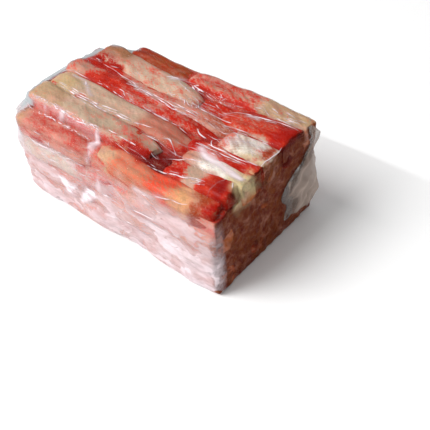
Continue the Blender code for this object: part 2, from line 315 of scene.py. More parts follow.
# Its facets that mirror the room, painted in as milky white, a painted reflection: their corners in
# Y and Z
FLAP_FACETS = (
    ((56.4, 36.0), (57.5, 31), (55.8, 25.1), (53.2, 31)),
    ((50, 35.5), (52, 33), (47, 27)),
)
FLAP_LEAN = np.array(((1.0, 0.0, 0.0), (0.0, 0.77, 0.64), (0.0, -0.64, 0.77)))

# Colours of the meat, as seen in plain light, but for the dark maroon, which is painted shade
TAN = (0.73, 0.61, 0.48)
BROWN = (0.69, 0.47, 0.34)
CREAM = (0.77, 0.66, 0.57)
WHITE = (0.86, 0.80, 0.74)
BLUSH = (0.84, 0.62, 0.55)
PINK = (0.82, 0.40, 0.34)
RED = (0.76, 0.15, 0.07)
BED_RED = (0.70, 0.16, 0.10)
DEEP_RED = (0.70, 0.10, 0.04)
# Painted shade: dark red for the hollow beside the sunken stick and the gaps at its sides
SHADED_MAROON = (0.44, 0.04, 0.02)
RUST = (0.64, 0.25, 0.11)
STREAK = (0.62, 0.47, 0.37)
JUICE = (0.82, 0.74, 0.57)
END_PALE = (0.52, 0.27, 0.13)
END_RED = (0.36, 0.07, 0.02)

# How each stick is coloured: pale colour, red colour, how red it is, and its patches.
# A patch covers a stretch in mm along the block and a span round the stick, where 0 is its
# crest, -1 its front side and 1 its back side; it adds redness and may tint the red, or the
# pale where it takes redness away.
# The streak says how much its fibres, which run aslant, differ in colour.
# Patches tinted dark maroon are painted shade, in the hollow beside the sunken stick and the gaps
# at its sides
Skin = namedtuple("Skin", "pale red redness patches streak", defaults=(0.25,))
FIBRE_LEAN = np.array(((0.82, 0.57, 0.0), (-0.57, 0.82, 0.0), (0.0, 0.0, 1.0)))
SKINS = {
    "front_left": Skin((0.82, 0.56, 0.5), (0.73, 0.26, 0.22), 0.37, (
        (2, 7, -0.8, -0.1, -0.5, (0.74, 0.58, 0.44)), (10, 58, -0.7, 0.9, 0.15),
        (25, 58, -1.6, -0.8, -0.15))),
    "front_right": Skin((0.785, 0.53, 0.41), (0.81, 0.42, 0.31), 0.5, (
        (45, 68, -2, 0.2, -0.4, (0.79, 0.64, 0.51)), (62, 100, 0.3, 2, 0.5, (0.79, 0.24, 0.15)),
        (68, 94, 0.7, 2, 0.4, SHADED_MAROON), (92, 110, -1, 1, 0.2, (0.88, 0.32, 0.21)),
        (109, 119, -1.2, 0.2, -0.6, (0.9, 0.66, 0.46)), (117, 126, -2, 1, 0.3, RUST),
        (125, 136, -2, 2, 0.4, DEEP_RED), (70, 95, -2, -1, -0.3, BLUSH))),
    "sunken_right": Skin(CREAM, RED, 0.85, (
        (105, 116, -0.8, 0.8, -0.8, (0.72, 0.61, 0.53)),
        (116, 124, -1.2, 1.2, 0.3, (0.8, 0.24, 0.14)), (124, 131, -2, 2, 0.35, (0.62, 0.08, 0.04)),
        (129, 140, 0, 2, -0.5, JUICE), (76, 92, -2, 2, 0.4, SHADED_MAROON))),
    "top_1": Skin((0.73, 0.64, 0.55), (0.74, 0.24, 0.16), 0.06, (
        (-5, 26, -2, 2, -0.1, TAN), (4, 62, -1.8, -0.5, -0.01, (0.87, 0.59, 0.55)),
        (4, 62, -1.8, -0.5, 0.5, (0.8, 0.27, 0.24)), (40, 82, 0, 1, 0.3, PINK),
        (60, 84, -1.1, 0.2, 0.42), (70, 85, -1.5, -0.35, 1.1, RED),
        (60, 90, -2, -1.1, 1.2, SHADED_MAROON))),
    "top_2": Skin(CREAM, (0.74, 0.24, 0.16), 0.04, (
        (-5, 22, -2, 2, -0.05, (0.76, 0.66, 0.5)), (0, 13, -1.6, -0.35, 0.65, (0.72, 0.16, 0.1)),
        (16, 44, -1.6, -0.5, 0.7, (0.66, 0.15, 0.1)), (44, 70, -1.6, -0.6, 0.5, (0.66, 0.15, 0.1)),
        (66, 100, -1.2, 1.2, -0.01, (0.73, 0.46, 0.38)),
        (66, 100, -1.2, 1.2, 0.25, (0.72, 0.3, 0.22)), (28, 95, 0.5, 1.2, 0.35),
        (86, 100, -1.5, -0.4, 0.7, RED), (95, 102, -2, 2, 0.4, RED))),
    "top_3": Skin((0.8, 0.58, 0.51), RED, 0.85, (
        (-5, 19, -1.4, 0.4, -0.5, (0.78, 0.58, 0.5)), (46, 84, -1, 1, -0.2),
        (19, 42, -1.2, 1.2, 0.2, (0.78, 0.19, 0.09)), (95, 106, -1, 1, 0.3, RED))),
    "top_4": Skin((0.8, 0.58, 0.51), RED, 0.32, (
        (-5, 32, -1.4, 1.4, 0.75, RED), (90, 112, -1.4, 1.4, 0.2, RUST)), 0.4),
    "top_5": Skin((0.8, 0.71, 0.62), (0.78, 0.3, 0.22), 0.24, (
        (-5, 31, -1.8, -0.55, 1.3, (0.64, 0.09, 0.03)), (-5, 24, -1, 0, 0.35, (0.64, 0.09, 0.03)),
        (-5, 28, -0.2, 1.5, -0.12, (0.62, 0.42, 0.29)), (24, 50, 0, 0.8, 0.12),
        (45, 72, -0.8, 0.2, 0.1), (66, 84, -1.5, 1.5, 0.1))),
    "back_left": Skin((0.63, 0.31, 0.14), (0.61, 0.18, 0.05), 0.55, ((18, 32, -1, 1, 0.25),)),
    "back_right": Skin(BLUSH, RED, 0.5, (
        (60, 108, -1.6, -0.35, 0.4, RED), (106, 140, -1.6, 2, -0.45, (0.74, 0.62, 0.48))), 0.8),
    "sunken_back": Skin(CREAM, RED, 0.85, ((68, 80, -2, 2, -0.3, BROWN),)),
    "right_1": Skin(CREAM, (0.77, 0.23, 0.14), 0.86, (
        (109, 124, -1.4, -0.55, -1, CREAM), (123, 136, -1.5, 1.5, 0.4, RED))),
    "right_2": Skin((0.9, 0.87, 0.82), RED, -0.15, (
        (100, 112, -2, 2, 0.8, (0.78, 0.38, 0.3)), (104, 136, 0.7, 2, 0.8, (0.8, 0.3, 0.22)),
        (125, 131, -0.5, 0.9, 1.1, RUST), (118, 136, -1.6, -0.3, -0.1, (0.78, 0.7, 0.56)),
        (104, 136, -1.8, -0.7, 0.6), (131, 140, -1.5, 1.5, -0.3, CREAM)), 0.85),
    "right_3": Skin(BLUSH, RED, 0.6, ((92, 102, -2, 2, 0.5, DEEP_RED), (116, 136, -1.2, 0.8, 0.4))),
    "right_4": Skin((0.92, 0.89, 0.85), PINK, -0.2, (
        (88, 106, -2, 2, -0.01, (0.74, 0.5, 0.42)), (88, 102, -2, 2, 0.6, (0.7, 0.3, 0.24)),
        (88, 126, -2, -0.55, -0.01, (0.74, 0.61, 0.54)), (127, 140, -2, 2, -0.1, JUICE)), 0.3),
}
# The visible lower sticks in front, from the table up, left before right
FRONT_SKINS = (
    Skin(BLUSH, PINK, 0.3, ()), Skin(BLUSH, PINK, 0.35, ()),
    Skin(BLUSH, PINK, 0.35, ()), Skin(BLUSH, PINK, 0.25, ()),
    Skin(WHITE, PINK, 0.2, ((42, 70, -2, 0, 0.4),)), Skin(BLUSH, PINK, 0.25, ()),
)
PATCH_EDGE = 4.0
PATCH_EDGE_AROUND = 0.25
# What the deepest red is darkened by
DEEPEST_RED = (0.84, 0.6, 0.5)

# Looks of the film: how milky it is everywhere, its milk's tint, how clear it is, and its
# wrinkles' scales per metre and depth in metres
Wrap = namedtuple("Wrap", "veil tint clearness wrinkles depth")
FILM_LOOK = Wrap(0.0, (0.93, 0.87, 0.89), 0.985, (60, 420, 420), 0.0006)
FLAP_LOOK = Wrap(0.36, (0.83, 0.75, 0.70), 0.88, (60, 40, 30), 0.0012)
# The grey of the film's loose rims: partly its own milk, partly painted grey standing for its dim
# grazing reflection
EDGE_GREY = (0.66, 0.69, 0.70)
FILM_INDEX = 1.22

# The camera, at the photograph's angle: its lens and sensor in mm and its places in metres
CAMERA_AZIMUTH = math.radians(42.28)
CAMERA_ELEVATION = math.radians(44.56)
CAMERA_ROLL = math.radians(-4.2)
CAMERA_FOCAL = 59.4
CAMERA_SENSOR = 36.0
CAMERA_CLIP = 0.01
BLOCK_CENTRE = (-0.0003, -0.0004, 0.0285)
# Where the camera stands, from the block's centre: right, up and back, in its own frame
CAMERA_OFFSET = (0.0268, -0.0314, 0.3641)

# Soft studio light: a broad key from the upper left, a fill, a strip for glints, and a pale
# room. Each light has the way to it, its distance, its sides in metres and its radiance.
SOFTBOXES = {
    "key": ((-0.38, -0.42, 0.82), 1.6, (0.9, 0.9), 8.0),
    "front_fill": ((-0.2, -0.95, 0.35), 1.6, (1.0, 0.6), 1.6),
    "glint_strip": ((-0.48, -0.55, 0.66), 1.2, (0.7, 0.02), 105.0),
}
ROOM_LIGHT = 0.42
FLOOR_SIZE = 8.0
FLOOR_DROP = 0.0004


def linear(color):
    """Linear light from a colour as seen, with full cover."""
    return tuple(((value + 0.055) / 1.055) ** 2.4 for value in color) + (1.0,)


def ramp(low, high, value):
    """Rise smoothly from 0 at low to 1 at high."""
    share = np.clip((value - low) / (high - low), 0, 1)
    return share * share * (3 - 2 * share)


def band(value, low, high, edge):
    """1 between low and high, falling off over an edge."""
    return ramp(low - edge, low + edge, value) * ramp(-high - edge, -high + edge, -value)


def rounded(value, power):
    """The coordinate of a superellipse whose circle's coordinate is value."""
    return np.sign(value) * np.abs(value) ** (2 / power)


def noise_at(points, scales, seed):
    """Smooth noise from -1 to 1 at each point, with a feature size in mm for each axis."""
    places = points / np.array(scales) + seed * 7.31
    return np.array([noise.noise(place) for place in places])


def roughened(points, amount, seed):
    """The points shifted by noise, so that what is laid out by them is ragged."""
    return points + amount * noise_at(points, (5, 4, 4), seed)[:, None]


def crease(points, scales, seed):
    """Sharp ridges from 0 to 1, drawn out by the feature sizes."""
    return (1 - np.abs(noise_at(points, scales, seed)) * 2.2).clip(0, 1) ** 3


def nearness(places, lines):
    """1 on the lines and falling off over their half-widths, times each line's strength."""
    cover = np.zeros(len(places))
    for strength, points, half_width in lines:
        corners = np.array(points, dtype=float)
        for start, end in zip(corners[:-1], corners[1:]):
            way = end - start
            share = np.clip((places - start) @ way / (way @ way), 0, 1)
            gap = np.linalg.norm(places - start - share[:, None] * way, axis=1)
            cover = np.maximum(cover, strength * np.exp(-(gap / half_width) ** 2))
    return cover


def facet_cover(places, facets):
    """1 inside the convex facets, whose corners run clockwise, with a short soft edge."""
    cover = np.zeros(len(places))
    for facet in facets:
        corners = np.array(facet, dtype=float)
        inside = np.full(len(places), np.inf)
        for start, end in zip(corners, np.roll(corners, -1, axis=0)):
            way = (end - start) / np.linalg.norm(end - start)
            offset = places - start
            inside = np.minimum(inside, offset[:, 0] * way[1] - offset[:, 1] * way[0])
        cover = np.maximum(cover, ramp(*FACET_EDGE, inside))
    return cover


def points_and_faces(mesh):
    """The points and faces of a mesh in the making, which is then freed."""
    points = np.array([vert.co for vert in mesh.verts])
    faces = [[vert.index for vert in face.verts] for face in mesh.faces]
    mesh.free()
    return points, faces


def unit_ball(rings, segments):
    """A sphere's points and faces."""
    mesh = bmesh.new()
    bmesh.ops.create_uvsphere(mesh, u_segments=segments, v_segments=rings, radius=1.0)
    mesh.verts.index_update()
    return points_and_faces(mesh)


def grid_faces(rows, columns):
    """The faces of a grid of points."""
    return [(row * columns + column, row * columns + column + 1,
             (row + 1) * columns + column + 1, (row + 1) * columns + column)
            for row in range(rows - 1) for column in range(columns - 1)]


def joined(parts):
    """The points and faces of several meshes as those of one."""
    faces = []
    first = 0
    for points, part_faces in parts:
        faces += [[index + first for index in face] for face in part_faces]
        first += len(points)
    return np.concatenate([points for points, _ in parts]), faces


def new_piece(name, points, faces, material, slot, **looks):
    """A smooth piece of the pack, with a value or a colour at each point for each of its looks."""
    mesh = bpy.data.meshes.new(name)
    mesh.from_pydata(((points - PACK_MIDDLE) * MM).tolist(), [], faces)
    mesh.shade_smooth()
    mesh.materials.append(material)
    for look, values in looks.items():
        values = np.ascontiguousarray(values, dtype=np.float32)
        kind, field = ("FLOAT", "value") if values.ndim == 1 else ("FLOAT_COLOR", "color")
        mesh.attributes.new(look, kind, "POINT").data.foreach_set(field, values.ravel())
    piece = bpy.data.objects.new(name, mesh)
    bpy.context.scene.collection.objects.link(piece)
    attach(piece, "root")
    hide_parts("pack")
    return piece


def stick_line(stick, along):
    """Points on the stick's middle line, from -1 at its start to 1 at its end."""
    start = np.array(stick.start)
    end = np.array(stick.end)
    side = np.array((start[1] - end[1], end[0] - start[0], 0.0))
    side /= np.linalg.norm(side)
    line = start + (end - start) * ((along + 1) / 2)[:, None]
    return line + side * (stick.bow * (1 - along ** 2))[:, None], side


def end_power(place):
    """How square a stick's end is, from where it lies along the block."""
    low, high = CUT_PLACES
    return ROUND_END_POWER if low < place < high else CUT_END_POWER


def fray(along, across, height, seed):
    """How far the points of a stick's ends stand out along it."""
    end = np.sign(along)
    places = np.stack([across, height, end * 9], axis=1)
    coarse, fine = FRAY_DEPTHS
    depth = noise_at(places, (7, 7, 7), seed + 8) * coarse - FRAY_SET_BACK
    depth += noise_at(places, (1.5, 1.5, 1.5), seed + 9) * fine
    return ramp(0.96, 1.0, np.abs(along)) * end * depth


def stick_points(stick, ball, seed, relief=1.0):
    """The stick's surface, and how far each point lies round it and along it."""
    along = np.clip(ball[:, 2], -1, 1)
    turn = np.arctan2(ball[:, 0], ball[:, 1])
    line, side = stick_line(stick, along)
    power = np.where(along < 0, end_power(stick.start[0]), end_power(stick.end[0]))
    swell = (1 - np.abs(along) ** power) ** (1 / power) * (1 - stick.taper * along)
    around = np.stack([line[:, 0], np.cos(turn) * 6, np.sin(turn) * 6], axis=1)
    bulge = relief * sum(noise_at(around, sizes, seed + more) * depth
                         for sizes, depth, more in STICK_RELIEF)
    beyond = (np.abs(np.sin(turn)) ** SECTION_POWER
              + np.abs(np.cos(turn)) ** SECTION_POWER) ** (1 / SECTION_POWER)
    aside = np.sin(turn) / beyond
    upward = np.cos(turn) / beyond
    across = aside * (stick.half_width + bulge) * swell
    height = upward * (stick.half_height + bulge) * swell
    wobble = relief * noise_at(line, (22, 1000, 1000), seed + 11) * STICK_WOBBLE
    points = line + side * (across + wobble)[:, None]
    points[:, 0] += relief * fray(along, across, height, seed)
    points[:, 2] = np.maximum(points[:, 2] + height, TABLE_GAP)
    span = np.arctan2(rounded(aside, SPAN_POWER), rounded(upward, SPAN_POWER))
    return points, span / (math.pi / 2), along


def row_of_sticks(draw, row, layer):
    """The sticks of one row of one lower layer, end to end from the left."""
    in_front = row == 0
    height = FRONT_HEIGHTS[layer] if in_front else LAYER_HEIGHTS[layer]
    half_height = FRONT_HALF_HEIGHT if in_front else LAYER_HALF_HEIGHT
    y = BLOCK_SIZE[1] / ROW_COUNT * (row + 0.5)
    join = MIDDLE_JOINS[layer] + draw.uniform(-JOIN_JITTER, JOIN_JITTER)
    spans = ((draw.uniform(*LEFT_END), join + JOIN_OVERLAP),
             (join - JOIN_OVERLAP, draw.uniform(*RIGHT_END)))
    return [Stick((low, y, height), (high, y, height), ROW_HALF_WIDTH, half_height,
                  draw.uniform(-LARGEST_TAPER, LARGEST_TAPER),
                  draw.uniform(-LARGEST_BOW, LARGEST_BOW)) for low, high in spans]


def lower_sticks():
    """The lower layers; one stick of the uppermost is left out, as the sunken one lies there."""
    draw = random.Random(LAYOUT_SEED)
    sticks = []
    for row in range(ROW_COUNT):
        for layer in range(len(LAYER_HEIGHTS)):
            in_row = row_of_sticks(draw, row, layer)
            over_gap = row == 1 and layer == len(LAYER_HEIGHTS) - 1
            sticks += in_row[:1] if over_gap else in_row
    return sticks


def chance_skin(draw, stick):
    """The skin of a stick that lies in a lower layer."""
    patches = []
    for _ in range(3):
        low = draw.uniform(stick.start[0], stick.end[0])
        middle = draw.uniform(-2, 2)
        patches.append((low, low + draw.uniform(8, 30), middle - 0.5, middle + 0.5,
                        draw.choice((-0.5, 0.4, 0.6))))
    return Skin(draw.choice((TAN, CREAM, BLUSH)), draw.choice((RED, PINK, PINK)),
                draw.uniform(0.25, 0.7), patches)


def lower_skins(draw, sticks):
    """Skins for the lower layers: those in front as they show, the rest by chance."""
    count = len(FRONT_SKINS)
    return list(FRONT_SKINS) + [chance_skin(draw, stick) for stick in sticks[count:]]


def tint(colors, color, cover, shade=1.0):
    """Turn the colours towards one colour, in place, as far as the cover says."""
    colors += (np.array(linear(color)) * shade - colors) * cover[:, None]


def plain_colors(color, count):
    """One colour for each of so many points."""
    return np.tile(linear(color), (count, 1))


def juice_cover(points, rough, front, back, edge, heights):
    """Where pale frozen juice lies over the upper part of the right end."""
    across = band(rough[:, 1], front, back, edge)
    return across * ramp(*heights, rough[:, 2]) * ramp(127, 131, points[:, 0])


def paint_ends(points, turn, along, pale, red):
    """Colour the cut ends, in place: brown and stained, and cream where juice lies on them."""
    x, y, z = points.T
    at_right = ramp(115, 120, x)
    beside = 0.08 * ramp(0.45, 0.7, np.abs(turn))
    cut = ramp(0.975, 0.995, along + beside) * at_right
    cut = np.maximum(cut, 0.7 * ramp(-0.975, -0.995, along) * ramp(15, 10, x))
    cut = np.maximum(cut, ramp(129.5, 132.5, x) * ramp(53, 50, z))
    cut *= 1 - 0.6 * ramp(15, 11, y) * ramp(34, 40, z) * at_right
    stain = ramp(-0.4, 0.4, noise_at(points, (9, 5, 6), 57))[:, None]
    tint(pale, END_PALE, cut, 0.65 + 1.25 * stain)
    tint(red, END_RED, cut, 0.8 + 1.25 * stain)
    juicy = juice_cover(points, roughened(points, 3.0, 53), 17, 30, 3.0, (43, 50))
    for colors in (pale, red):
        tint(colors, JUICE, 0.9 * juicy, 0.7 + 0.4 * stain)


def paint(points, turn, along, skin):
    """The redness, the pale and the red colour at each point of a stick."""
    redness = np.full(len(points), skin.redness)
    pale = plain_colors(skin.pale, len(points))
    red = plain_colors(skin.red, len(points))
    x = points[:, 0] + 5 * noise_at(points, (9, 7, 7), 21)
    around = turn + 0.4 * noise_at(points, (7, 5, 5), 25)
    for low, high, front, back, amount, *color in skin.patches:
        cover = band(x, low, high, PATCH_EDGE) * band(around, front, back, PATCH_EDGE_AROUND)
        redness += amount * cover
        if color:
            tint(pale if amount < 0 else red, color[0], cover)
    in_front = ramp(-0.2, -0.6, turn) * (points[:, 1] < 7)
    redness += in_front * nearness(points[:, [0, 2]], RED_LINES)
    fibres = ramp(-0.1, 0.45, noise_at(points @ FIBRE_LEAN, (10, 1.5, 2.0), 33))
    tint(pale, STREAK, fibres * skin.streak)
    paint_ends(points, turn, along, pale, red)
    return redness, pale, red


def make_sticks(name, sticks, skins, rings, segments, material):
    """One piece of many sticks; also returns their surface for the film to land on."""
    ball, ball_faces = unit_ball(rings, segments)
    parts, paints = [], []
    for number, (stick, skin) in enumerate(zip(sticks, skins)):
        points, turn, along = stick_points(stick, ball, number * 1.7 + rings)
        parts.append((points, ball_faces))
        paints.append(paint(points, turn, along, skin))
    points, faces = joined(parts)
    redness, pale, red = (np.concatenate(values) for values in zip(*paints))
    new_piece(name, points, faces, material, "meat", redness=redness, pale=pale, red=red)
    return points, faces


def bed_height(x, y):
    """How high the frozen juice and shreds stand between the sticks."""
    height = np.full(len(x), BED_TOP)
    for left, right, front, back, low in BED_PITS:
        height += (low - height) * band(x, left, right, PIT_EDGE) * band(y, front, back, PIT_EDGE)
    return height


def paint_bed(points, out, share):
    """The redness, the pale and the red colour at each point of the frozen juice."""
    in_front = ramp(0.96, 0.995, np.abs(out[:, 1]))
    at_end = ramp(0.975, 0.995, np.abs(out[:, 0]))
    rough = roughened(points, 2.5, 51)
    juicy = juice_cover(points, rough, 15, 28, 2.5, (39, 49))
    # Painted shade: the juice in the hollow beside the sunken stick is tinted dark maroon
    hollow_shade = band(rough[:, 0], 80, 102, 5) * band(rough[:, 1], 5, 22, 4) * (1 - in_front)
    by_tip = ramp(66, 58, points[:, 0]) * ramp(13, 10, points[:, 1])
    on_top = ramp(0.97, 1.0, share) * (1 - in_front)
    pale = plain_colors(BROWN, len(points))
    red = plain_colors(BED_RED, len(points))
    for cover, pale_color, red_color in (
            (in_front, BLUSH, PINK), (at_end, END_PALE, END_RED), (juicy, JUICE, JUICE),
            (by_tip, BLUSH, PINK), (hollow_shade, SHADED_MAROON, SHADED_MAROON)):
        tint(pale, pale_color, cover)
        tint(red, red_color, cover)
    return 0.5 + 0.3 * on_top, pale, red


def make_bed(material):
    """Frozen juice and shreds that fill the gaps between the sticks almost to their faces."""
    places, _, faces, half = film_cage(BED_CELLS, 0.0)
    middle = BLOCK_SIZE / 2
    points = places / half * (BED_HIGH - BED_LOW) / 2 + (BED_HIGH + BED_LOW) / 2
    share = points[:, 2] / BED_HIGH[2]
    points[:, 2] = share * bed_height(points[:, 0], points[:, 1])
    away = (points - middle) / np.linalg.norm(points - middle, axis=1)[:, None]
    points += away * (noise_at(points, (6, 3, 3), 41) * BED_RELIEF)[:, None]
    points[:, 2] = np.maximum(points[:, 2], BED_LEAST_HEIGHT)
    redness, pale, red = paint_bed(points, places / half, share)
    new_piece("frozen_juice", points, faces, material, "meat",
              redness=redness, pale=pale, red=red)
    return points, faces


def film_cage(cells, margin):
    """A cube the size of the block and its margin, cut into cells, and each point's neighbours."""
    size = BLOCK_SIZE + 2 * margin
    mesh = bmesh.new()
    bmesh.ops.create_cube(mesh, size=1.0)
    for axis, cell in enumerate(cells):
        count = round(size[axis] / cell)
        normal = Vector((0, 0, 0))
        normal[axis] = 1.0
        for step in range(1, count):
            everything = mesh.verts[:] + mesh.edges[:] + mesh.faces[:]
            bmesh.ops.bisect_plane(mesh, geom=everything, dist=1e-6,
                                   plane_co=normal * (step / count - 0.5), plane_no=normal)
    mesh.verts.index_update()
    table = np.tile(np.arange(len(mesh.verts))[:, None], (1, 4))
    for vert in mesh.verts:
        for slot, edge in enumerate(vert.link_edges):
            table[vert.index, slot] = edge.other_vert(vert).index
    places, faces = points_and_faces(mesh)
    return places * size, table, faces, size / 2


def landing_depths(start, inward, tree):
    """How far each point of the cage can be drawn in before it meets the meat."""
    limit = np.full(len(start), DEEPEST_DRAW)
    for index, (place, way) in enumerate(zip(start, inward)):
        hit = tree.ray_cast(Vector(place), Vector(way), DEEPEST_DRAW)
        if hit[0] is not None:
            limit[index] = hit[3] - FILM_GAP
    return limit


def draw_in(start, inward, limit, table, weights):
    """Relax the film: taut between what it touches, drawn in where it touches nothing."""
    total = weights.sum(axis=1)
    share = (weights / total[:, None])[:, :, None]
    on_top = (-inward[:, 2] - SIDE_STEEPNESS) / (TOP_STEEPNESS - SIDE_STEEPNESS)
    on_top = np.clip(on_top, 0, 1)
    sag = (on_top / TOP_FREE_RADIUS + (1 - on_top) / SIDE_FREE_RADIUS) / total
    depth = limit
    for _ in range(EASE_STEPS):
        depth = np.minimum(depth, depth[table].min(axis=1))
    place = start + inward * depth[:, None]
    for _ in range(DRAW_STEPS):
        target = (place[table] * share).sum(axis=1)
        depth = np.clip(((target - start) * inward).sum(axis=1) + sag, 0, limit)
        place = start + inward * depth[:, None]
    return place, depth


def drawn_film(tree):
    """The film's points and faces, the ways out at its points and how far it stands off."""
    places, table, faces, half = film_cage(CELLS, CAGE_MARGIN)
    reach = CAGE_RADIUS + CAGE_MARGIN
    core = np.clip(places, reach - half, half - reach)
    outward = places - core
    outward /= np.linalg.norm(outward, axis=1)[:, None]
    start = core + outward * reach + BLOCK_SIZE / 2
    lengths = np.linalg.norm(places[table] - places[:, None, :], axis=2)
    weights = np.where(lengths > 0, 1 / np.maximum(lengths, 1e-9) ** 2, 0)
    limit = landing_depths(start, -outward, tree)
    film, depth = draw_in(start, -outward, limit, table, weights)
    return film, faces, outward, limit + FILM_GAP - depth


def ruffle(film, outward, standoff):
    """Raise fine pleats and crumples of the film, in place, and lay its underside flat."""
    free = ramp(0.4, 2.0, standoff)
    top = ramp(0.5, 0.9, outward[:, 2])
    ends = ramp(0.5, 0.9, np.abs(outward[:, 0]))
    sides = (1 - top) * (1 - ends)
    pleats = crease(film, (34, 2.4, 2.4), 2) * (top + 0.5 * sides)
    crumple = crease(film, (13, 9, 7), 4) * sides + crease(film, (6, 9, 9), 6) * ends
    lift = FILM_PLEAT_HEIGHT * pleats * (0.25 + 0.75 * free) + CRUMPLE_HEIGHT * crumple * free
    under = np.isclose(outward[:, 2], -1)
    film += outward * (lift * ~under)[:, None]
    film[:, 2] = np.where(under, 0, np.maximum(film[:, 2], 0))


def film_haze(film, rough, outward):
    """How milky the film is in its hazy patches, mostly painted highlights, and where its facets
    mirror the room, a painted reflection.
    """
    on_front = ramp(-0.3, -0.7, outward[:, 1])
    upward = outward[:, 2]
    return np.maximum.reduce((
        nearness(rough[:, :2], TOP_HAZE_AND_HIGHLIGHTS) * ramp(0.25, 0.6, upward),
        nearness(rough[:, [0, 2]], FRONT_HAZE_AND_HIGHLIGHTS) * on_front,
        0.72 * facet_cover(film[:, :2], TOP_FACETS) * ramp(0.2, 0.5, upward),
        0.7 * facet_cover(rough[:, [0, 2]], FRONT_FACETS) * on_front))


def film_frost(film, rough, outward):
    """How milky the film is low on the front, the back and the left end: partly the film's own
    milk, partly a painted reflection of the bright room.
    """
    x, _, z = film.T
    on_front = ramp(-0.3, -0.7, outward[:, 1])
    on_back = ramp(0.3, 0.7, outward[:, 1])
    on_left = ramp(-0.4, -0.8, outward[:, 0])
    frost = on_front * (0.5 * ramp(45, 37, z) + 0.4 * ramp(29, 20, z))
    frost += 0.28 * on_front * ramp(78, 95, x) * ramp(47, 43, z)
    frost *= 1 - 0.75 * nearness(rough[:, [0, 2]], RED_LINES)
    return frost + (0.75 * on_back + 0.45 * on_left) * ramp(50, 42, z)


def film_edge(film, outward, standoff):
    """How grey the film is along the rims of the pack, where it bridges from face to face: partly
    its own milk, partly painted grey standing for its dim grazing reflection.
    """
    x, y, z = film.T
    out_x, out_y, out_z = outward.T
    edge = ramp(0.15, 0.6, -out_x)
    edge += ramp(0.15, 0.6, out_x) * ramp(64, 70, y) * ramp(32, 42, z)
    edge *= ramp(1.2, 3.0, standoff)
    edge = np.maximum(edge, 0.9 * ramp(7, 3.5, x) * ramp(0.6, 1.6, standoff))
    folds = [(1.0, (fold.start[:2], fold.end[:2]), FOLD_REACH) for fold in FILM_FOLDS]
    edge = np.maximum(edge, nearness(film[:, :2], folds) * ramp(50, 52.5, z))
    edge *= 0.12 + 0.88 * np.maximum(ramp(0.25, 0.6, out_z), ramp(0.3, 0.6, out_x))
    corner = ramp(6.5, 2.0, x) * ramp(0.1, -0.3, out_y)
    edge = np.maximum(edge, 0.45 * corner)
    return edge * (0.4 + 0.6 * ramp(25, 42, z)) * ramp(2, 20, z)


def make_film(tree, material):
    """The clear film round the block; also returns its surface and its loose points."""
    film, faces, outward, standoff = drawn_film(tree)
    rough = roughened(film, 0.9, 31)
    haze = film_haze(film, rough, outward)
    ruffle(film, outward, standoff)
    new_piece("film", film, faces, material, "film", haze=haze,
              standoff=ramp(0.35, 3.5, standoff), frost=film_frost(film, rough, outward),
              edge=film_edge(film, outward, standoff), dull=ramp(0.4, 0.8, outward[:, 0]))
    loose = film[(standoff > 1.0) & (film[:, 2] > 6)]
    return BVHTree.FromPolygons(film.tolist(), faces), loose


def smooth_line(corners, step):
    """Points a step apart along a rounded run of corners."""
    corners = np.array(corners, dtype=float)
    gaps = np.linalg.norm(np.diff(corners, axis=0), axis=1)
    reach = np.concatenate([[0], np.cumsum(gaps)])
    count = max(5, round(reach[-1] / step))
    places = np.linspace(0, reach[-1], count)
    line = np.stack([np.interp(places, reach, corners[:, axis]) for axis in (0, 1)], axis=1)
    for _ in range(3):
        line[1:-1] = (line[:-2] + 2 * line[1:-1] + line[2:]) / 4
    return line


def bent_line(first, across, half, slant, bend):
    """The corners of a short line, slanted and bent a little."""
    return [(first + share * half, across + slant * share * half + bend * (1 - share ** 2))
            for share in LINE_SHARES]


def chance_pleats(draw, loose):
    """Short pleats where the film is loose, most of them along the sticks."""
    pleats = []
    for _ in range(CHANCE_PLEATS):
        x, y, z = loose[draw.randrange(len(loose))]
        half = draw.uniform(2, 11)
        slant = draw.gauss(0, 0.05)
        bend = draw.gauss(0, 0.3)
        strongest = 0.6
        if z > TOP_FROM:
            faced, first, across = "top", x, y
        elif ENDS_FROM[0] < x < ENDS_FROM[1]:
            faced, first, across = "front" if y < FILM_MIDDLE[1] else "back", x, z
        else:
            faced, first, across = "right" if x > FILM_MIDDLE[0] else "left", y, z
            slant = draw.gauss(0, 0.8)
            half *= 0.5
            strongest = 0.25
        half_width = draw.uniform(0.16, 0.26)
        pleats.append((faced, Line(draw.uniform(0.2, 1.0) * strongest,
                                   bent_line(first, across, half, slant, bend), half_width)))
    return pleats


def crowded_pleats(draw):
    """Short pleats where the film is drawn into many."""
    pleats = []
    crowds = [(faced, Crowd(*row)) for faced, rows in CROWDS.items() for row in rows]
    for faced, crowd in crowds:
        for _ in range(crowd.count):
            first = draw.uniform(*crowd.along)
            across = draw.uniform(*crowd.across)
            half = draw.uniform(0.3, 1.0) * crowd.length
            slant = crowd.slant + draw.gauss(0, 0.4) / half
            corners = bent_line(first, across, half, slant, draw.gauss(0, 0.2))
            half_width = draw.uniform(0.16, 0.34)
            whiteness = draw.uniform(0.3, 1.0) * crowd.whiteness
            pleats.append((faced, Line(whiteness, corners, half_width)))
    return pleats


def companions(draw, pleats):
    """Thinner, shorter pleats that run beside the long ones."""
    beside = []
    for faced, pleat in pleats:
        line = smooth_line(pleat.points, 1.0)
        if len(line) < 28 or faced != "top" or line[0, 0] > 80:
            continue
        for away in (-1.5, 1.3):
            first = draw.randrange(0, len(line) // 2)
            last = first + draw.randrange(6, max(7, len(line) // 2))
            across = away * draw.uniform(0.8, 1.2)
            corners = [(x, y + across) for x, y in line[first:last + 1]]
            half_width = draw.uniform(0.16, 0.28)
            whiteness = pleat.strength * draw.uniform(0.5, 1.0)
            beside.append((faced, Line(whiteness, corners, half_width)))
    return beside


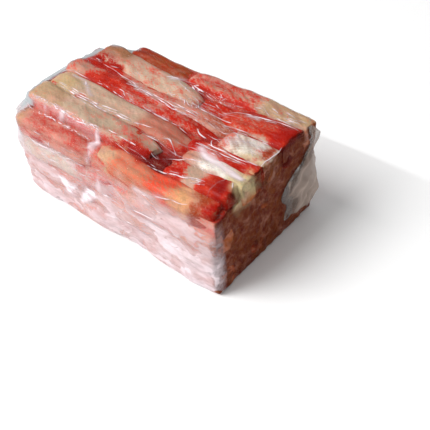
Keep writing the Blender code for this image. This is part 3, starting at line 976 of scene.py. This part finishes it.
def on_film(line, faced, film_tree):
    """Where a flat line lands on the film, and the film's normals there; none if it slides off."""
    axis, start, sign = FACINGS[faced]
    way = Vector((0, 0, 0))
    way[axis] = sign
    landed = []
    for flat in line:
        place, normal, _, _ = film_tree.ray_cast(Vector(np.insert(flat, axis, start)), way)
        if place is None or abs(normal.dot(way)) < LEAST_FACING:
            return None
        landed.append((place, normal))
    return landed


def ridge(landed, pleat, number):
    """The points of one pleat's ridge, row by row, and how milky each is: a painted highlight,
    partly the milk of folded film.
    """
    points, haze = [], []
    last = len(landed) - 1
    for index, (place, normal) in enumerate(landed):
        way = (landed[min(index + 1, last)][0] - landed[max(index - 1, 0)][0]).normalized()
        side = way.cross(normal).normalized()
        swell = 1.0 + 0.8 * noise.noise((place.x / 5, number * 2.3, 4.5))
        taper = math.sin(math.pi * (index + 0.4) / (last + 0.8)) ** 0.5
        size = PLEAT_SLIMNESS * pleat.half_width * taper * swell
        wiggle = 0.5 * noise.noise((place.x / 5, number * 3.1, 0.5))
        strength = 0.95 + 1.9 * noise.noise((place.x / 3.0, number * 1.7, 9.5))
        for across, height in PLEAT_PROFILE:
            points.append((place + side * (across * size + wiggle) + normal * height * size)[:])
            haze.append(pleat.strength * strength)
    return points, haze


def make_pleats(pleats, film_tree, material):
    """Thin ridges of folded film that lie on the wrap, whitened as painted highlights."""
    parts, haze = [], []
    for number, (faced, pleat) in enumerate(pleats):
        landed = on_film(smooth_line(pleat.points, PLEAT_STEP), faced, film_tree)
        if landed:
            points, pleat_highlight = ridge(landed, pleat, number)
            parts.append((points, grid_faces(len(landed), len(PLEAT_PROFILE))))
            haze += pleat_highlight
    new_piece("film_pleats", *joined(parts), material, "film", haze=np.clip(haze, 0, 1))


def flap_points(across, rise):
    """The flap's points: it leaves the end of the block at its root and stands off beyond."""
    height = FLAP_OUTLINE_Z[0] + rise * (FLAP_OUTLINE_Z[-1] - FLAP_OUTLINE_Z[0])
    edge = np.interp(height, FLAP_OUTLINE_Z, FLAP_OUTLINE_Y)
    narrow = ramp(*FLAP_SHOULDER, height)
    root = FLAP_ROOT_Y[0] + narrow * (FLAP_ROOT_Y[1] - FLAP_ROOT_Y[0])
    root += FLAP_SLANT * (1 - rise) * (1 - narrow) + FLAP_ROOT_WAVE * np.sin(0.45 * height)
    y = root + across * (edge - root)
    lift = ramp(0, FLAP_LIFT, y - root + narrow * FLAP_LIFT / 3)
    turns = (y * WAVES_PER_MM[0] + height * WAVES_PER_MM[1] / 2, height * WAVES_PER_MM[1])
    wave = FLAP_WAVE * np.sin(math.tau * turns[0]) * np.sin(math.tau * turns[1])
    x = FLAP_ROOT_X + lift * (FLAP_X - FLAP_ROOT_X) + wave * lift
    return np.stack([x, y, height], axis=1)


def make_flap(film_tree, material):
    """The folded end seal: a thin crumpled sheet that hugs the film near its root."""
    across, rise = np.meshgrid(np.linspace(0, 1, FLAP_COLUMNS), np.linspace(0, 1, FLAP_ROWS))
    across = across.ravel()
    points = flap_points(across, rise.ravel())
    folds = crease(points, (30, 17, 12), 9)
    points[:, 0] += FLAP_FOLD_HEIGHT * folds
    # Painted highlights along the flap's creases and streaks, and a painted reflection on its
    # facets, all in its milk
    streaks = crease(points @ FLAP_LEAN, (30, 8, 40), 15)
    haze = 0.12 * folds + 0.25 * streaks - 0.22 * ramp(36, 42, points[:, 2])
    haze += 0.45 * facet_cover(points[:, 1:], FLAP_FACETS)
    haze -= 0.5 * ramp(0.45, 0.05, across)
    for point in points:
        hit = film_tree.ray_cast(Vector((CAST_FROM_X, *point[1:])), Vector((-1, 0, 0)))[0]
        if hit is not None:
            point[0] = max(point[0], hit.x + FLAP_GAP)
    faces = grid_faces(FLAP_ROWS, FLAP_COLUMNS)
    flap = new_piece("end_seal_flap", points, faces, material, "film", haze=haze)
    solid = flap.modifiers.new("thickness", "SOLIDIFY")
    solid.thickness = FLAP_THICKNESS * MM
    solid.offset = 1.0


def add_node(tree, kind, inputs=(), **settings):
    """Add a shader node, set it and link or fill its inputs."""
    item = tree.nodes.new("ShaderNode" + kind)
    for name, value in settings.items():
        setattr(item, name, value)
    for socket, value in dict(inputs).items():
        if isinstance(value, bpy.types.NodeSocket):
            tree.links.new(value, item.inputs[socket])
        else:
            item.inputs[socket].default_value = value
    return item


def math_node(tree, operation, first, second=0.0, clamp=False):
    """One sum on one or two values."""
    return add_node(tree, "Math", {0: first, 1: second},
                    operation=operation, use_clamp=clamp).outputs[0]


def add_up(tree, total, *values):
    """The sum of several values."""
    for value in values:
        total = math_node(tree, "ADD", total, value)
    return total


def times(tree, first, second):
    """The product of two values."""
    return math_node(tree, "MULTIPLY", first, second)


def mix_color(tree, share, first, second, blend="MIX"):
    """Mix two colours."""
    return add_node(tree, "Mix", {0: share, 6: first, 7: second},
                    data_type="RGBA", blend_type=blend).outputs[2]


def place_on_piece(tree):
    """The place on the piece, in its own frame."""
    return add_node(tree, "TexCoord").outputs["Object"]


def stretched_noise(tree, scales, detail, roughness=0.55, slant=0.0):
    """Noise whose features are drawn out along the block; the scales are per metre."""
    place = place_on_piece(tree)
    if slant:
        place = add_node(tree, "Mapping", {
            "Vector": place, "Rotation": (0.0, 0.0, slant)}).outputs[0]
    mapped = add_node(tree, "Mapping", {"Vector": place, "Scale": scales}).outputs[0]
    return add_node(tree, "TexNoise", {
        "Vector": mapped, "Scale": 1.0, "Detail": detail, "Roughness": roughness}).outputs[0]


def attribute(tree, name, output="Fac"):
    """Read a value stored at the points."""
    return add_node(tree, "Attribute", attribute_name=name).outputs[output]


def new_material(name):
    """A material with an empty node tree and its output."""
    material = bpy.data.materials.new(name)
    material.use_nodes = True
    tree = material.node_tree
    tree.nodes.clear()
    return material, tree, add_node(tree, "OutputMaterial")


def spread(tree, value, gain):
    """The value less a half, times a gain."""
    return add_node(tree, "Math", {0: value, 1: gain, 2: -gain / 2},
                    operation="MULTIPLY_ADD").outputs[0]


def remap(tree, value, lows, highs):
    """Stretch a value smoothly from one range to another."""
    return add_node(tree, "MapRange", {
        "Value": value, "From Min": lows[0], "From Max": lows[1],
        "To Min": highs[0], "To Max": highs[1]}, interpolation_type="SMOOTHSTEP").outputs[0]


def meat_material():
    """Frozen crab meat: cream fibres under patchy red skin."""
    material, tree, output = new_material("crab_meat")
    blotch = stretched_noise(tree, (120, 220, 220), 5.0, 0.68)
    fibre = stretched_noise(tree, (160, 900, 900), 3.0, slant=0.65)
    speck = stretched_noise(tree, (900, 1300, 1300), 4.0, 0.65)
    total = add_up(tree, attribute(tree, "redness"), spread(tree, blotch, 1.7),
                   spread(tree, speck, 1.6), spread(tree, fibre, 0.9))
    warm = stretched_noise(tree, (90, 160, 160), 3.0)
    pale = mix_color(tree, remap(tree, warm, (0.45, 0.7), (0.0, 0.45)),
                     attribute(tree, "pale", "Color"), linear(BLUSH))
    red = attribute(tree, "red", "Color")
    deep = mix_color(tree, 1.0, red, linear(DEEPEST_RED), "MULTIPLY")
    skin = mix_color(tree, remap(tree, total, (0.1, 0.9), (0.0, 1.0)), pale, red)
    skin = mix_color(tree, remap(tree, total, (0.8, 1.35), (0.0, 1.0)), skin, deep)
    shade = add_up(tree, spread(tree, fibre, 0.55), spread(tree, speck, 0.75), 0.96)
    skin = mix_color(tree, 1.0, skin, shade, "MULTIPLY")
    bump = add_node(tree, "Bump", {
        "Height": add_up(tree, fibre, speck), "Strength": 0.6, "Distance": 0.0004})
    shader = add_node(tree, "BsdfPrincipled", {
        "Base Color": skin, "Roughness": 0.6, "Specular IOR Level": 0.05,
        "Normal": bump.outputs[0], "Subsurface Weight": 0.2,
        "Subsurface Radius": (1.0, 0.35, 0.2), "Subsurface Scale": 0.0015})
    tree.links.new(shader.outputs[0], output.inputs[0])
    return material


def crinkles(tree):
    """Flat facets of crumpled film, some milkier than others, a painted reflection of the room."""
    place = place_on_piece(tree)
    bent = add_node(tree, "TexNoise", {"Vector": place, "Scale": 160.0, "Detail": 2.0})
    offset = add_node(tree, "VectorMath", {
        0: bent.outputs["Color"], "Scale": 0.010}, operation="SCALE").outputs[0]
    moved = add_node(tree, "VectorMath", {0: place, 1: offset}, operation="ADD").outputs[0]
    turned = add_node(tree, "Mapping", {
        "Vector": moved, "Rotation": (0.0, 0.5, 0.0), "Scale": (70, 120, 160)}).outputs[0]
    facets = add_node(tree, "TexVoronoi", {"Vector": turned, "Scale": 1.0})
    return remap(tree, facets.outputs["Color"], (0.2, 0.8), (-0.12, 0.20))


def film_veil(tree, least, free):
    """How milky the film is, from the values at its points and from its streaks and facets; much of
    this milk is painted highlight, painted reflection and painted grey at the rims.
    """
    # Thin bright lines along the film's fine wrinkles: painted highlights
    streak = stretched_noise(tree, (30, 600, 600), 2.0)
    line = math_node(tree, "ABSOLUTE", math_node(tree, "SUBTRACT", streak, 0.5))
    line = times(tree, remap(tree, line, (0.0, 0.04), (0.03, 0.0)),
                 remap(tree, attribute(tree, "dull"), (0.0, 1.0), (1.0, 0.3)))
    cloud = stretched_noise(tree, (90, 200, 200), 4.0, 0.6)
    milky = add_up(tree, remap(tree, cloud, (0.3, 0.7), (0.26, 0.60)), crinkles(tree))
    broken = times(tree, attribute(tree, "haze"), remap(tree, cloud, (0.35, 0.6), (0.7, 1.1)))
    veil = add_up(tree, times(tree, free, 0.01), least, line,
                  times(tree, attribute(tree, "frost"), milky),
                  times(tree, attribute(tree, "edge"), 0.88))
    return math_node(tree, "ADD", veil, broken, clamp=True)


def film_material(name, look):
    """Clear film: see-through, glossy, and milky where it stands off the meat; the milk also
    carries painted highlights and painted reflections.
    """
    material, tree, output = new_material(name)
    free = attribute(tree, "standoff")
    wrinkle = add_up(tree, stretched_noise(tree, look.wrinkles, 4.0, 0.6),
                     stretched_noise(tree, [2.5 * scale for scale in look.wrinkles], 2.0))
    bump = add_node(tree, "Bump", {"Height": wrinkle, "Strength": 0.8, "Distance": look.depth})
    clear = add_node(tree, "BsdfTransparent", {"Color": linear((look.clearness,) * 3)})
    gloss = add_node(tree, "BsdfGlossy", {
        "Color": (1, 1, 1, 1), "Roughness": remap(tree, free, (0.0, 0.6), (0.12, 0.07)),
        "Normal": bump.outputs[0]})
    fresnel = add_node(tree, "Fresnel", {"IOR": FILM_INDEX, "Normal": bump.outputs[0]})
    dimmed = remap(tree, attribute(tree, "dull"), (0.0, 1.0), (0.45, 0.08))
    sheet = add_node(tree, "MixShader", {
        0: times(tree, fresnel.outputs[0], dimmed), 1: clear.outputs[0], 2: gloss.outputs[0]})
    color = mix_color(tree, attribute(tree, "edge"), linear(look.tint), linear(EDGE_GREY))
    milk = add_node(tree, "BsdfDiffuse", {"Color": color})
    film = add_node(tree, "MixShader", {
        0: film_veil(tree, look.veil, free), 1: sheet.outputs[0], 2: milk.outputs[0]})
    tree.links.new(film.outputs[0], output.inputs[0])
    return material


def floor_material():
    """A pale matt floor with the faintest mottling."""
    material, tree, output = new_material("pale_floor")
    mottle = stretched_noise(tree, (6, 6, 6), 2.0)
    shade = add_node(tree, "MapRange", {"Value": mottle, "To Min": 0.93, "To Max": 0.95})
    shader = add_node(tree, "BsdfPrincipled", {"Base Color": shade.outputs[0], "Roughness": 0.9})
    tree.links.new(shader.outputs[0], output.inputs[0])
    return material


def make_floor():
    """A pale floor, a hair under the pack."""
    bpy.ops.mesh.primitive_plane_add(size=FLOOR_SIZE, location=(0, 0, -FLOOR_DROP))
    floor = bpy.context.object
    floor.name = "floor"
    floor.data.materials.append(floor_material())


def make_camera():
    """The camera at the photograph's angle, distance and framing."""
    data = bpy.data.cameras.new("camera")
    data.lens = CAMERA_FOCAL
    data.sensor_width = CAMERA_SENSOR
    data.clip_start = CAMERA_CLIP
    camera = bpy.data.objects.new("camera", data)
    turned = (Matrix.Rotation(CAMERA_AZIMUTH, 4, "Z")
              @ Matrix.Rotation(math.pi / 2 - CAMERA_ELEVATION, 4, "X")
              @ Matrix.Rotation(CAMERA_ROLL, 4, "Z"))
    camera.matrix_world = (Matrix.Translation(BLOCK_CENTRE) @ turned
                           @ Matrix.Translation(CAMERA_OFFSET))
    bpy.context.scene.collection.objects.link(camera)
    bpy.context.scene.camera = camera


def add_softbox(name, way, distance, size, radiance):
    """A rectangular light that faces the pack, its first side level with the sticks."""
    data = bpy.data.lights.new(name, "AREA")
    data.shape = "RECTANGLE"
    data.size, data.size_y = size
    data.energy = radiance * math.pi * size[0] * size[1]
    light = bpy.data.objects.new(name, data)
    back = Vector(way).normalized()
    along = (Vector((1, 0, 0)) - back * back.x).normalized()
    turned = Matrix((along, back.cross(along), back)).transposed().to_4x4()
    turned.translation = back * distance
    light.matrix_world = turned
    bpy.context.scene.collection.objects.link(light)


def make_lights():
    """The soft lights and the pale room."""
    for name, settings in SOFTBOXES.items():
        add_softbox(name, *settings)
    world = bpy.data.worlds.new("room")
    world.use_nodes = True
    background = world.node_tree.nodes["Background"]
    background.inputs["Color"].default_value = (1.0, 1.0, 1.0, 1.0)
    background.inputs["Strength"].default_value = ROOM_LIGHT
    bpy.context.scene.world = world


def landing_tree(parts):
    """The surface that the film lands on: the meat, the juice and the stiff folds."""
    ball, ball_faces = unit_ball(FOLD_RINGS, FOLD_SEGMENTS)
    folds = [(stick_points(fold, ball, 1, relief=0.0)[0], ball_faces) for fold in FILM_FOLDS]
    points, faces = joined(parts + folds)
    return BVHTree.FromPolygons(points.tolist(), faces)


def main():
    """Build the pack, its floor, its lights and the camera."""
    bpy.context.scene.view_settings.view_transform = "Standard"
    meat = meat_material()
    clear_film = film_material("vacuum_film", FILM_LOOK)
    draw = random.Random(LAYOUT_SEED)
    under = lower_sticks()
    top_skins = [SKINS[name] for name in TOP_STICKS]
    parts = [
        make_sticks("top_sticks", TOP_STICKS.values(), top_skins, TOP_RINGS, TOP_SEGMENTS, meat),
        make_sticks("lower_sticks", under, lower_skins(draw, under),
                    LOWER_RINGS, LOWER_SEGMENTS, meat),
        make_bed(meat),
    ]
    film_tree, loose = make_film(landing_tree(parts), clear_film)
    pleats = [(faced, Line(*row)) for faced, rows in PLEATS.items() for row in rows]
    pleats += companions(draw, pleats) + crowded_pleats(draw)
    pleats += chance_pleats(draw, loose)
    make_pleats(pleats, film_tree, clear_film)
    make_flap(film_tree, film_material("end_seal_film", FLAP_LOOK))
    make_floor()
    make_lights()
    make_camera()


main()
